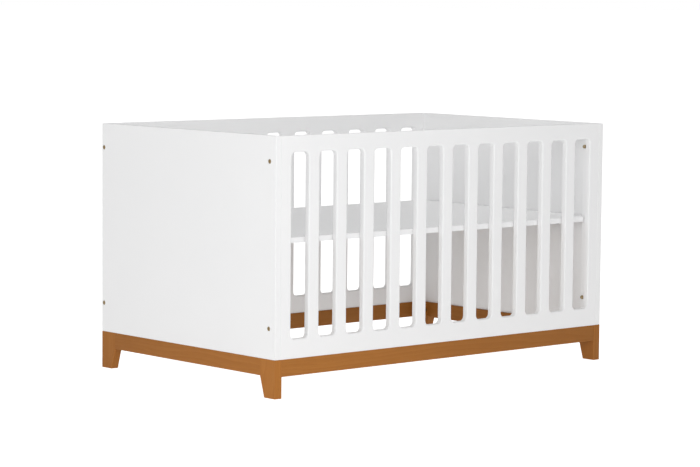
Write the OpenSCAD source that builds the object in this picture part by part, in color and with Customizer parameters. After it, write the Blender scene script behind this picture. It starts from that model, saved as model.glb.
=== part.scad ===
// Baby crib: a white box with two slatted sides, standing on a honey-stained
// timber base, with a mattress platform that rests on brackets and lifts out.
// Millimetres, +Z up, front towards -Y, origin on the floor under the centre.

/* [Overall] */
// Outside width, left to right
crib_w = 1340; // [1240:5:1440]
// Outside depth, front to back
crib_d = 830; // [720:5:860]
// Overall height from the floor
crib_h = 750; // [730:5:800]

/* [Panels] */
// Thickness of the plain end panels
end_t = 20; // [18:1:22]
// Thickness of the slatted sides
side_t = 20; // [18:1:22]
// Number of slots in the front side
front_slots = 12; // [8:1:12]
// Number of slots in the back side
back_slots = 11; // [8:1:12]
// Width of one slot
slot_w = 65; // [50:1:65]
// Radius of the slot corners
slot_r = 14; // [8:1:24]
// Outer face of the crib to the first front slot
front_margin = 59; // [59:0.5:68]
// Outer face of the crib to the first back slot
back_margin = 55; // [55:0.5:66]
// Solid rail above the slots
top_rail = 48; // [45:1:60]
// Solid rail below the slots
bottom_rail = 56; // [50:1:65]

/* [Timber base] */
// Height of the base, floor to the underside of the box
base_h = 112; // [106:1:114]
// Height of the rails
rail_h = 50; // [46:1:54]
// Thickness of the end frames, legs and end rails
leg_t = 26; // [24:1:30]
// Width of a leg where it meets the rail
leg_top = 67; // [62:1:76]
// Width of a leg at the floor
leg_foot = 48; // [40:1:58]
// Thickness of the front and back rails
rail_t = 22; // [20:1:24]
// Setback of the front and back rails from the leg edges
rail_setback = 1; // [0.5:0.5:2]

/* [Mattress platform] */
// Underside of the board in the top position
board_z = 441; // [432:1:450]
// Thickness of the board
board_t = 16; // [12:1:18]
// Clearance all round the board
board_gap = 1.5; // [1:0.5:5]
// Drop from one height position to the next
level_step = 140; // [130:1:140]
// Number of height positions in the end panels
levels = 1; // [1:1:3]

/* [Hardware] */
// Height of the upper row of panel bolts
bolt_z_top = 677; // [650:1:680]
// Height of the lower row of panel bolts
bolt_z_low = 200; // [190:1:230]
// Front bolts, distance from the front face
front_bolt_y = 29; // [28:0.5:30]
// Bolt shank diameter
bolt_d = 6; // [5:0.5:6]
// Bolt head diameter
head_d = 13; // [11:0.5:14]
// Bolt head thickness, sunk flush
head_t = 3; // [2:0.5:4]

/* [Hidden] */
$fn = 40;
eps = 0.5;
hw = crib_w / 2;
hd = crib_d / 2;
in_x = hw - end_t;
in_y = hd - side_t;
panel_h = crib_h - base_h;
slot_h = panel_h - top_rail - bottom_rail;
front_pitch = (crib_w - 2 * front_margin - slot_w) / (front_slots - 1);
back_pitch = (crib_w - 2 * back_margin - slot_w) / (back_slots - 1);
bolt_rows = [bolt_z_low, bolt_z_top];
bore = bolt_d + 0.6;
batten_w = 31;
batten_t = 18;
batten_z0 = 125;
batten_z1 = crib_h - 25;
batten_rows = [150, 300, 480, 640];
screw_d = 3.8;
screw_head = 7.6;
screw_head_h = 2.6;
nut_t = 8;
back_bolt_y = side_t / 2;
barrel_x = 38;
barrel_d = 10;
barrel_l = 14;
dowel_d = 8;
panel_dowel_z = [260, 430, 600];
dowel_in_end = 12;
dowel_in_side = 23;
bracket_y = 212;
bracket_l = 70;
bracket_t = 3;
bracket_down = 20;
bracket_in = 32;
bracket_top = board_z - 0.3;
bracket_bolt_dy = 18;
bracket_bolt_dz = 11;
insert_d = 10;
insert_l = 13;
stiff_y = 195;
stiff_w = 44;
stiff_t = 18;
stiff_l = crib_w - 140;
stiff_screw_x = [-stiff_l / 2 + 50, -275, 0, 275, stiff_l / 2 - 50];
rail_y = hd - rail_setback - rail_t / 2;
base_dowel_z = [base_h - rail_h + 14, base_h - 14];
block = 40;
block_h = rail_h - 6;
block_z = base_h - rail_h + 3;
block_screw_l = block + 14;
long_screw_x = [-520, -260, 0, 260, 520];
end_screw_y = [-220, 0, 220];
base_screw_z0 = base_h - 25;
base_screw_z1 = base_h + 33;
base_screw_d = 4.8;

white = [0.94, 0.94, 0.93];
timber = [0.68, 0.43, 0.20];
birch = [0.85, 0.74, 0.56];
gold = [0.80, 0.62, 0.30];
steel = [0.72, 0.73, 0.75];

// ---- helpers: boxes and rods given by their end positions ----

module slab(x0, x1, y0, y1, z0, z1) {
    translate([min(x0, x1), min(y0, y1), z0])
        cube([abs(x1 - x0), abs(y1 - y0), z1 - z0]);
}

module rod_x(x0, x1, y, z, d) {
    translate([min(x0, x1), y, z])
        rotate([0, 90, 0])
            cylinder(h = abs(x1 - x0), d = d);
}

module rod_y(y0, y1, x, z, d) {
    translate([x, min(y0, y1), z])
        rotate([-90, 0, 0])
            cylinder(h = abs(y1 - y0), d = d);
}

module rod_z(z0, z1, x, y, d) {
    translate([x, y, z0])
        cylinder(h = z1 - z0, d = d);
}

// Countersunk screw pointing along +Z from its head at the origin.
module wood_screw(len, d, head, head_h) {
    difference() {
        union() {
            cylinder(h = head_h, d1 = head, d2 = d);
            cylinder(h = len, d = d);
        }
        translate([0, 0, -eps])
            cylinder(h = 1.6 + eps, d = d * 0.75, $fn = 6);
    }
}

// Clearance bore for the same screw, through the first piece only.
module screw_bore(depth, d, head, head_h) {
    translate([0, 0, -0.01])
        cylinder(h = head_h, d1 = head + 0.4, d2 = d + 0.4);
    translate([0, 0, -0.01])
        cylinder(h = depth, d = d + 0.4);
}

// Socket-head panel bolt along +X from its outer face at the origin.
module panel_bolt(len) {
    difference() {
        union() {
            rod_x(0, head_t, 0, 0, head_d);
            rod_x(0, len, 0, 0, bolt_d);
        }
        translate([-eps, 0, 0])
            rotate([0, 90, 0])
                cylinder(h = 2 + eps, d = 5.4, $fn = 6);
    }
}

// ---- white box ----

// Bores shared by both ends: s is -1 for the left panel, +1 for the right.
module end_panel(s) {
    difference() {
        slab(s * in_x, s * hw, -hd, hd, base_h, crib_h);
        for (z = bolt_rows) {
            rod_x(s * (in_x - eps), s * (hw + eps), -hd + front_bolt_y, z, bore);
            rod_x(s * (hw - head_t), s * (hw + eps), -hd + front_bolt_y, z, head_d + 0.4);
            rod_x(s * (in_x - eps), s * (hw + eps), hd - back_bolt_y, z, bore);
            rod_x(s * (hw - head_t), s * (hw + eps), hd - back_bolt_y, z, head_d + 0.4);
        }
        for (z = panel_dowel_z) {
            for (y = [-hd + side_t / 2, hd - side_t / 2]) {
                rod_x(s * (in_x - eps), s * (in_x + dowel_in_end + 0.5), y, z, dowel_d);
            }
        }
        for (k = [0 : levels - 1]) {
            for (y = [-bracket_y, bracket_y]) {
                for (dy = [-bracket_bolt_dy, bracket_bolt_dy]) {
                    rod_x(s * (in_x - eps), s * (in_x + insert_l + 1), y + dy,
                        bracket_top - bracket_bolt_dz - k * level_step, insert_d);
                }
            }
        }
        for (y = end_screw_y) {
            rod_z(base_h - eps, base_screw_z1 + 2, s * (hw - end_t / 2), y, base_screw_d);
        }
    }
}

// One slot with round corners, cut right through the side.
module slot(x, y0, y1) {
    z0 = base_h + bottom_rail;
    z1 = z0 + slot_h;
    slab(x + slot_r, x + slot_w - slot_r, y0, y1, z0, z1);
    slab(x, x + slot_w, y0, y1, z0 + slot_r, z1 - slot_r);
    for (cx = [x + slot_r, x + slot_w - slot_r]) {
        for (cz = [z0 + slot_r, z1 - slot_r]) {
            rod_y(y0, y1, cx, cz, 2 * slot_r);
        }
    }
}

module slatted_side(s, n, margin, pitch) {
    difference() {
        slab(-in_x, in_x, s * in_y, s * hd, base_h, crib_h);
        for (i = [0 : n - 1]) {
            slot(-hw + margin + i * pitch, s * (in_y - eps), s * (hd + eps));
        }
        for (z = panel_dowel_z) {
            for (e = [-1, 1]) {
                rod_x(e * (in_x + eps), e * (in_x - dowel_in_side - 0.5),
                    s * (hd - side_t / 2), z, dowel_d);
            }
        }
        for (x = long_screw_x) {
            rod_z(base_h - eps, base_screw_z1 + 2, x, s * (hd - side_t / 2), base_screw_d);
        }
    }
}

module left_end_panel() {
    color(white) end_panel(-1);
}

module right_end_panel() {
    color(white) end_panel(1);
}

module front_slatted_side() {
    color(white)
        difference() {
            slatted_side(-1, front_slots, front_margin, front_pitch);
            for (e = [-1, 1]) {
                for (z = batten_rows) {
                    rod_y(-in_y + eps, -in_y - 14, e * (in_x - batten_w / 2), z, screw_d);
                }
            }
        }
}

module back_slatted_side() {
    color(white)
        difference() {
            slatted_side(1, back_slots, back_margin, back_pitch);
            for (e = [-1, 1]) {
                for (z = bolt_rows) {
                    rod_x(e * (in_x + eps), e * (hw - barrel_x - 11), hd - back_bolt_y, z, bore);
                    rod_y(in_y - eps, in_y + 17, e * (hw - barrel_x), z, barrel_d);
                }
            }
        }
}

// Battens behind the end stiles of the front side take the front bolts.
module batten(s) {
    difference() {
        slab(s * in_x, s * (in_x - batten_w), -in_y, -in_y + batten_t, batten_z0, batten_z1);
        for (z = bolt_rows) {
            rod_x(s * (in_x + eps), s * (in_x - batten_w - eps), -hd + front_bolt_y, z, bore);
        }
        for (z = batten_rows) {
            translate([s * (in_x - batten_w / 2), -in_y + batten_t, z])
                rotate([90, 0, 0])
                    screw_bore(batten_t + eps, screw_d, screw_head, screw_head_h);
        }
    }
}

module front_left_batten() {
    color(white) batten(-1);
}

module front_right_batten() {
    color(white) batten(1);
}

module batten_screws() {
    color(steel)
        for (s = [-1, 1]) {
            for (z = batten_rows) {
                translate([s * (in_x - batten_w / 2), -in_y + batten_t, z])
                    rotate([90, 0, 0])
                        wood_screw(batten_t + 12, screw_d, screw_head, screw_head_h);
            }
        }
}

// ---- bolts, nuts and dowels of the box ----

module bolt_row(s, y, len) {
    for (z = bolt_rows) {
        translate([s * hw, y, z])
            rotate([0, 0, s > 0 ? 180 : 0])
                panel_bolt(len);
    }
}

module front_bolts_left() {
    color(gold) bolt_row(-1, -hd + front_bolt_y, end_t + batten_w + 5);
}

module front_bolts_right() {
    color(gold) bolt_row(1, -hd + front_bolt_y, end_t + batten_w + 5);
}

module back_bolts_left() {
    color(gold) bolt_row(-1, hd - back_bolt_y, barrel_x + 9);
}

module back_bolts_right() {
    color(gold) bolt_row(1, hd - back_bolt_y, barrel_x + 9);
}

// Cap nut along +X: flange, hexagon and a closed end.
module cap_nut() {
    difference() {
        union() {
            rod_x(0, 1.4, 0, 0, 12);
            rotate([0, 90, 0])
                cylinder(h = 5.5, d = 11, $fn = 6);
            translate([5.5, 0, 0])
                rotate([0, 90, 0])
                    cylinder(h = nut_t - 5.5, d1 = 9, d2 = 5);
        }
        rod_x(-eps, 5.6, 0, 0, bolt_d + 0.1);
    }
}

module cap_nuts(s) {
    for (z = bolt_rows) {
        translate([s * (in_x - batten_w), -hd + front_bolt_y, z])
            rotate([0, 0, s > 0 ? 180 : 0])
                cap_nut();
    }
}

module cap_nuts_left() {
    color(gold) cap_nuts(-1);
}

module cap_nuts_right() {
    color(gold) cap_nuts(1);
}

module barrel_nuts(s) {
    for (z = bolt_rows) {
        difference() {
            rod_y(in_y + 1, in_y + 1 + barrel_l, s * (hw - barrel_x), z, barrel_d - 0.2);
            rod_x(s * (hw - barrel_x - barrel_d), s * (hw - barrel_x + barrel_d),
                hd - back_bolt_y, z, bolt_d + 0.1);
            rod_y(in_y + 1 - eps, in_y + 2, s * (hw - barrel_x), z, 5);
        }
    }
}

module barrel_nuts_left() {
    color(steel) barrel_nuts(-1);
}

module barrel_nuts_right() {
    color(steel) barrel_nuts(1);
}

module panel_dowels(s) {
    for (z = panel_dowel_z) {
        for (y = [-hd + side_t / 2, hd - side_t / 2]) {
            rod_x(s * (in_x - dowel_in_side), s * (in_x + dowel_in_end), y, z, dowel_d - 0.1);
        }
    }
}

module panel_dowels_left() {
    color(birch) panel_dowels(-1);
}

module panel_dowels_right() {
    color(birch) panel_dowels(1);
}

// ---- mattress platform, one lifting body ----

module mattress_platform() {
    bx = in_x - board_gap;
    by = in_y - board_gap;
    color(white)
        difference() {
            slab(-bx, bx, -by, by, board_z, board_z + board_t);
            for (s = [-1, 1]) {
                slab(s * (bx + eps), s * (in_x - batten_w - nut_t - board_gap),
                    -by - eps, -in_y + batten_t + board_gap, board_z - eps, board_z + board_t + eps);
            }
            for (y = [-stiff_y, stiff_y]) {
                for (x = stiff_screw_x) {
                    rod_z(board_z - eps, board_z + 9.5, x, y, screw_d);
                }
            }
        }
}

// Two long stiffeners under the board, screwed up into it.
module platform_battens() {
    color(birch)
        for (y = [-stiff_y, stiff_y]) {
            difference() {
                slab(-stiff_l / 2, stiff_l / 2, y - stiff_w / 2, y + stiff_w / 2,
                    board_z - stiff_t, board_z);
                for (x = stiff_screw_x) {
                    translate([x, y, board_z - stiff_t])
                        screw_bore(stiff_t + eps, screw_d, screw_head, screw_head_h);
                }
            }
        }
}

module platform_screws() {
    color(steel)
        for (y = [-stiff_y, stiff_y]) {
            for (x = stiff_screw_x) {
                translate([x, y, board_z - stiff_t])
                    wood_screw(stiff_t + 8, screw_d, screw_head, screw_head_h);
            }
        }
}

// ---- brackets that carry the platform ----

module support_bracket(s, y) {
    difference() {
        union() {
            slab(s * in_x, s * (in_x - bracket_t), y - bracket_l / 2, y + bracket_l / 2,
                bracket_top - bracket_down, bracket_top);
            slab(s * in_x, s * (in_x - bracket_in), y - bracket_l / 2, y + bracket_l / 2,
                bracket_top - bracket_t, bracket_top);
        }
        for (dy = [-bracket_bolt_dy, bracket_bolt_dy]) {
            rod_x(s * (in_x + eps), s * (in_x - bracket_t - eps), y + dy,
                bracket_top - bracket_bolt_dz, bolt_d + 0.4);
        }
    }
}

module support_brackets_left() {
    color(steel) support_bracket(-1, -bracket_y);
    color(steel) support_bracket(-1, bracket_y);
}

module support_brackets_right() {
    color(steel) support_bracket(1, -bracket_y);
    color(steel) support_bracket(1, bracket_y);
}

module bracket_bolts(s) {
    z = bracket_top - bracket_bolt_dz;
    for (y = [-bracket_y, bracket_y]) {
        for (dy = [-bracket_bolt_dy, bracket_bolt_dy]) {
            difference() {
                union() {
                    rod_x(s * (in_x - bracket_t), s * (in_x - bracket_t - 3), y + dy, z, 10.5);
                    rod_x(s * (in_x - bracket_t), s * (in_x + 11), y + dy, z, bolt_d);
                }
                translate([s * (in_x - bracket_t - 3), y + dy, z])
                    rotate([0, 90, 0])
                        cylinder(h = 4, d = 4.6, center = true, $fn = 6);
            }
        }
    }
}

module bracket_bolts_left() {
    color(gold) bracket_bolts(-1);
}

module bracket_bolts_right() {
    color(gold) bracket_bolts(1);
}

module level_inserts(s) {
    for (k = [0 : levels - 1]) {
        z = bracket_top - bracket_bolt_dz - k * level_step;
        for (y = [-bracket_y, bracket_y]) {
            for (dy = [-bracket_bolt_dy, bracket_bolt_dy]) {
                difference() {
                    rod_x(s * in_x, s * (in_x + insert_l), y + dy, z, insert_d - 0.1);
                    rod_x(s * (in_x - eps), s * (in_x + insert_l + eps), y + dy, z, bolt_d + 0.1);
                }
            }
        }
    }
}

module level_inserts_left() {
    color(gold) level_inserts(-1);
}

module level_inserts_right() {
    color(gold) level_inserts(1);
}

// ---- timber base ----

// A leg: outer edge upright, inner edge tapering from the rail to the floor.
module leg(sx, sy) {
    difference() {
        translate([sx < 0 ? -hw : hw - leg_t, 0, 0])
            rotate([90, 0, 90])
                linear_extrude(height = leg_t)
                    polygon([
                        [sy * hd, 0],
                        [sy * (hd - leg_foot), 0],
                        [sy * (hd - leg_top), base_h - rail_h],
                        [sy * (hd - leg_top), base_h],
                        [sy * hd, base_h]
                    ]);
        for (z = base_dowel_z) {
            rod_y(sy * (hd - leg_top - eps), sy * (hd - leg_top + 20.5), sx * (hw - leg_t / 2), z, dowel_d);
            rod_x(sx * (hw - leg_t - eps), sx * (hw - leg_t + 16.5), sy * rail_y, z, dowel_d);
        }
        for (dz = [11, block_h - 11]) {
            rod_x(sx * (hw - leg_t - eps), sx * (hw - leg_t + 15),
                sy * (rail_y - rail_t / 2 - block / 2), block_z + dz, screw_d);
        }
    }
}

module front_left_leg() {
    color(timber) leg(-1, -1);
}

module front_right_leg() {
    color(timber) leg(1, -1);
}

module back_left_leg() {
    color(timber) leg(-1, 1);
}

module back_right_leg() {
    color(timber) leg(1, 1);
}

module end_rail(s) {
    difference() {
        slab(s * hw, s * (hw - leg_t), -hd + leg_top, hd - leg_top, base_h - rail_h, base_h);
        for (z = base_dowel_z) {
            for (e = [-1, 1]) {
                rod_y(e * (hd - leg_top + eps), e * (hd - leg_top - 20.5), s * (hw - leg_t / 2), z, dowel_d);
            }
        }
        for (y = end_screw_y) {
            rod_z(base_h - rail_h - eps, base_screw_z0, s * (hw - end_t / 2), y, 9.5);
            rod_z(base_screw_z0 - eps, base_h + eps, s * (hw - end_t / 2), y, base_screw_d + 0.4);
        }
    }
}

module left_end_rail() {
    color(timber) end_rail(-1);
}

module right_end_rail() {
    color(timber) end_rail(1);
}

module long_rail(s) {
    difference() {
        slab(-hw + leg_t, hw - leg_t, s * (hd - rail_setback), s * (hd - rail_setback - rail_t),
            base_h - rail_h, base_h);
        for (z = base_dowel_z) {
            for (e = [-1, 1]) {
                rod_x(e * (hw - leg_t + eps), e * (hw - leg_t - 20.5), s * rail_y, z, dowel_d);
            }
        }
        for (x = long_screw_x) {
            rod_z(base_h - rail_h - eps, base_screw_z0, x, s * (hd - side_t / 2), 9.5);
            rod_z(base_screw_z0 - eps, base_h + eps, x, s * (hd - side_t / 2), base_screw_d + 0.4);
        }
        for (e = [-1, 1]) {
            for (dx = [10, block - 10]) {
                rod_y(s * (rail_y - rail_t / 2 - eps), s * (rail_y - rail_t / 2 + 15),
                    e * (hw - leg_t - dx), block_z + block_h / 2, screw_d);
            }
        }
    }
}

module front_rail() {
    color(timber) long_rail(-1);
}

module back_rail() {
    color(timber) long_rail(1);
}

module base_dowels() {
    color(birch)
        for (sx = [-1, 1]) {
            for (sy = [-1, 1]) {
                for (z = base_dowel_z) {
                    rod_y(sy * (hd - leg_top - 20), sy * (hd - leg_top + 20),
                        sx * (hw - leg_t / 2), z, dowel_d - 0.1);
                    rod_x(sx * (hw - leg_t - 20), sx * (hw - leg_t + 16),
                        sy * rail_y, z, dowel_d - 0.1);
                }
            }
        }
}

module corner_blocks() {
    color(timber)
        for (sx = [-1, 1]) {
            for (sy = [-1, 1]) {
                difference() {
                    slab(sx * (hw - leg_t), sx * (hw - leg_t - block),
                        sy * (rail_y - rail_t / 2), sy * (rail_y - rail_t / 2 - block),
                        block_z, block_z + block_h);
                    block_screws(sx, sy, screw_d + 0.4, screw_head + 0.4, 0.01, false);
                }
            }
        }
}

// Four screws of one corner block: two into the leg, two into the long rail.
module block_screws(sx, sy, d, head, lift, solid_screw) {
    x_face = sx * (hw - leg_t - block);
    y_face = sy * (rail_y - rail_t / 2 - block);
    for (dz = [11, block_h - 11]) {
        translate([x_face - sx * lift, sy * (rail_y - rail_t / 2 - block / 2), block_z + dz])
            rotate([0, sx * 90, 0])
                wood_screw_or_bore(d, head, solid_screw);
    }
    for (dx = [10, block - 10]) {
        translate([sx * (hw - leg_t - dx), y_face - sy * lift, block_z + block_h / 2])
            rotate([-sy * 90, 0, 0])
                wood_screw_or_bore(d, head, solid_screw);
    }
}

module wood_screw_or_bore(d, head, solid_screw) {
    if (solid_screw) {
        wood_screw(block_screw_l, d, head, screw_head_h);
    } else {
        cylinder(h = screw_head_h, d1 = head, d2 = d);
        cylinder(h = block_screw_l, d = d);
    }
}

module corner_block_screws() {
    color(gold)
        for (sx = [-1, 1]) {
            for (sy = [-1, 1]) {
                block_screws(sx, sy, screw_d - 0.1, screw_head, 0, true);
            }
        }
}

// Screws driven up through the rails into the bottom edges of the panels.
module base_screw(x, y) {
    translate([x, y, base_screw_z0])
        difference() {
            union() {
                translate([0, 0, -3])
                    cylinder(h = 3, d = 9);
                cylinder(h = base_screw_z1 - base_screw_z0, d = base_screw_d - 0.1);
            }
            translate([0, 0, -3 - eps])
                cylinder(h = 1.8 + eps, d = 4, $fn = 6);
        }
}

module base_screws_sides() {
    color(steel)
        for (s = [-1, 1]) {
            for (x = long_screw_x) {
                base_screw(x, s * (hd - side_t / 2));
            }
        }
}

module base_screws_ends() {
    color(steel)
        for (s = [-1, 1]) {
            for (y = end_screw_y) {
                base_screw(s * (hw - end_t / 2), y);
            }
        }
}

left_end_panel();
right_end_panel();
front_slatted_side();
back_slatted_side();
front_left_batten();
front_right_batten();
batten_screws();
front_bolts_left();
front_bolts_right();
cap_nuts_left();
cap_nuts_right();
back_bolts_left();
back_bolts_right();
barrel_nuts_left();
barrel_nuts_right();
panel_dowels_left();
panel_dowels_right();
mattress_platform();
platform_battens();
platform_screws();
support_brackets_left();
support_brackets_right();
bracket_bolts_left();
bracket_bolts_right();
level_inserts_left();
level_inserts_right();
front_left_leg();
front_right_leg();
back_left_leg();
back_right_leg();
left_end_rail();
right_end_rail();
front_rail();
back_rail();
base_dowels();
corner_blocks();
corner_block_screws();
base_screws_sides();
base_screws_ends();
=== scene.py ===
import math

import bpy
import numpy as np
from bpy.props import (
    FloatProperty, FloatVectorProperty, IntProperty, PointerProperty,
)
from mathutils import Matrix, Vector


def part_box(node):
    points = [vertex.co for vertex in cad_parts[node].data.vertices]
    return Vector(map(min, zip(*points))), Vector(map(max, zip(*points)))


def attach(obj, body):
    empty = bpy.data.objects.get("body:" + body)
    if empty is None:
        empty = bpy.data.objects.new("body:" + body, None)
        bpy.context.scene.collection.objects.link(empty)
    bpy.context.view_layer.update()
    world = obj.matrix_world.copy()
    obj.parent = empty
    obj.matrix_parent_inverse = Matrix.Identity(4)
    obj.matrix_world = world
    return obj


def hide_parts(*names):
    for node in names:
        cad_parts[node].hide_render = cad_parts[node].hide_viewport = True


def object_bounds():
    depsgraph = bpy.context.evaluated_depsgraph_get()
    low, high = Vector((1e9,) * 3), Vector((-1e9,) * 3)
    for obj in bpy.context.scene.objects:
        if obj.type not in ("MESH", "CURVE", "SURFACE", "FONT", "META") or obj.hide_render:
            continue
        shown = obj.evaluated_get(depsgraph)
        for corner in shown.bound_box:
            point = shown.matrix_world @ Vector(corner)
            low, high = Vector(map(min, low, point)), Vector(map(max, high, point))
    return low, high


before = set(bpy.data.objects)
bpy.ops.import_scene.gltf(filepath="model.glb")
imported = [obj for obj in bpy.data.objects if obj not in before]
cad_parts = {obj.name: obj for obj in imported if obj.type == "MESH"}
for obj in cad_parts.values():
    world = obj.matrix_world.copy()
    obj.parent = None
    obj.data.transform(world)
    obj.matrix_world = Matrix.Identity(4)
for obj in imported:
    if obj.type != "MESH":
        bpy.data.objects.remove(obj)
CAD_LOW, CAD_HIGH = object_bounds()

bl_info = {
    "name": "Slatted Crib",
    "version": (1, 0, 0),
    "blender": (4, 5, 0),
    "location": "View3D > Sidebar > Crib",
    "description": "Looks of a white slatted crib on a honey-stained base",
    "category": "Object",
}

FRAME_BODY = "crib_frame"
LIFT_BODY = "platform"
MERGE_STEPS_PER_METRE = 1e6
MERGE_SHIFT = 0.123         # keeps round numbers off a step's border
CORNER_STEPS = 4
RIM_STEPS = 5
BEND_STEPS = 6
TURN_STEPS = 48
INSERT_STEPS = 32
FLOOR_STEPS = 96
FLOOR_FILLET = 0.0004       # metres, round a blind hole's floor
SHARP_ANGLE = 32            # degrees, of edges that stay sharp on metal
# Order in which a shape's own axes (along, across, through) become X, Y, Z.
UPRIGHT_END = [2, 0, 1]     # along Y, up Z, through X
UPRIGHT_SIDE = [0, 2, 1]    # along X, up Z, through Y
LYING = [0, 1, 2]           # along X, along Y, through Z
LYING_ACROSS = [1, 0, 2]    # along Y, along X, through Z


# ---------------------------------------------------------------- settings

def length(label, text, metres, low=0.0, high=2.0):
    """A length that the user may change, in metres."""
    return FloatProperty(
        name=label, description=text, default=metres, min=low, max=high,
        unit="LENGTH", precision=5,
    )


def tint(label, text, rgb):
    """A colour that the user may change."""
    return FloatVectorProperty(
        name=label, description=text, default=(*rgb, 1.0), size=4,
        min=0.0, max=1.0, subtype="COLOR",
    )


class CribSizes(bpy.types.PropertyGroup):
    """Edges and openings of the crib's boards."""
    panel_edge: length("Panel edge", "Rounding of the end panels", 0.0014)
    side_edge: length("Side edge", "Rounding of the slatted sides", 0.0009)
    slot_edge: length("Slot edge", "Round-over of the slots", 0.0045)
    timber_edge: length("Timber edge", "Rounding of legs and rails", 0.0016)
    board_edge: length("Board edge", "Rounding of the platform board", 0.0008)
    slot_width: length("Slot width", "Width of one slot", 0.065)
    slot_corner: length("Slot corner", "Radius of the slot corners", 0.014)
    slot_top: length("Top rail", "Board above the slots", 0.048)
    slot_bottom: length("Bottom rail", "Board below the slots", 0.056)
    front_first: length(
        "First front slot", "Outer face of the crib to the first front slot",
        0.059)
    back_first: length(
        "First back slot", "Outer face of the crib to the first back slot",
        0.055)
    front_count: IntProperty(
        name="Front slots", description="Slots in the front side",
        default=12, min=1, max=12)
    back_count: IntProperty(
        name="Back slots", description="Slots in the back side",
        default=11, min=1, max=12)


class CribColours(bpy.types.PropertyGroup):
    """Colours of the crib's finishes."""
    lacquer: tint("Lacquer", "White satin lacquer", (0.900, 0.900, 0.902))
    lacquer_thin: tint(
        "Thin lacquer", "Lacquer where it thins on edges",
        (0.855, 0.857, 0.862))
    honey: tint("Honey", "Light wood of the base", (0.430, 0.165, 0.026))
    honey_dark: tint("Dark honey", "Dark grain of the base",
                     (0.358, 0.128, 0.018))
    honey_rubbed: tint("Rubbed honey", "Base edges where the stain thins",
                       (0.47, 0.20, 0.050))
    birch: tint("Birch", "Light wood of stiffeners and dowels",
                (0.66, 0.50, 0.31))
    birch_dark: tint("Dark birch", "Dark grain of stiffeners and dowels",
                     (0.54, 0.38, 0.21))
    yellow_zinc: tint("Yellow zinc", "Bolts, cap nuts and inserts",
                      (0.46, 0.35, 0.20))
    zinc: tint("Zinc", "Screws and brackets", (0.58, 0.59, 0.60))
    floor: tint("Floor", "Studio floor", (0.80, 0.80, 0.80))


def power(label, text, watts):
    """The power of a light that the user may change."""
    return FloatProperty(name=label, description=text, default=watts,
                         min=0.0, max=2000.0, unit="POWER")


def strength(label, text, value):
    """A brightness that the user may change."""
    return FloatProperty(name=label, description=text, default=value,
                         min=0.0, max=5.0)


class CribLight(bpy.types.PropertyGroup):
    """Strengths of the studio lights."""
    sky: strength("Surround", "Strength of the even studio light", 0.458)
    floor_glow: strength("Floor glow", "Light the floor gives the crib", 0.374)
    paper: strength("Paper", "Glow of the floor to the camera alone", 0.80)
    front: power("Front", "Power of the light close to the front", 14.3)
    left: power("Left", "Power of the light on the left end", 8.3)
    top: power("Top", "Power of the light above the crib", 18.3)
    far: power("Far", "Power of the large light by the camera", 87.0)


# ---------------------------------------------------------------- surfaces

def grid_faces(rows, cols, ring=False):
    """Corner numbers of the quads of a grid of points counted row by row.
    With ring, the last column joins the first."""
    r = np.arange(rows - 1)[:, None]
    c = np.arange(cols if ring else cols - 1)[None, :]
    n = (c + 1) % cols
    here, above = r * cols, (r + 1) * cols
    quads = np.broadcast_arrays(here + c, here + n, above + n, above + c)
    return np.stack(quads, -1).reshape(-1, 4)


def quarter(steps):
    """Sine and cosine of the angles of a quarter turn, in equal steps."""
    a = np.linspace(0.0, math.pi / 2, steps + 1)
    return np.sin(a), np.cos(a)


def merge_close(points):
    """Points less than a micrometre apart become one. Gives the numbers of
    the points that are kept, and for each point its number among them."""
    key = np.round(points * MERGE_STEPS_PER_METRE + MERGE_SHIFT)
    _, first, index = np.unique(
        key.astype(np.int64), axis=0, return_index=True, return_inverse=True)
    return first, index.reshape(-1)


def whole_faces(quads, index):
    """The quads that keep four corners after merging, and as triangles those
    that keep three. The others are dropped."""
    merged = index[quads]
    kept = merged != np.roll(merged, -1, axis=1)
    sides = kept.sum(1)
    return (quads[sides == 4],
            quads[sides == 3][kept[sides == 3]].reshape(-1, 3))


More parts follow.
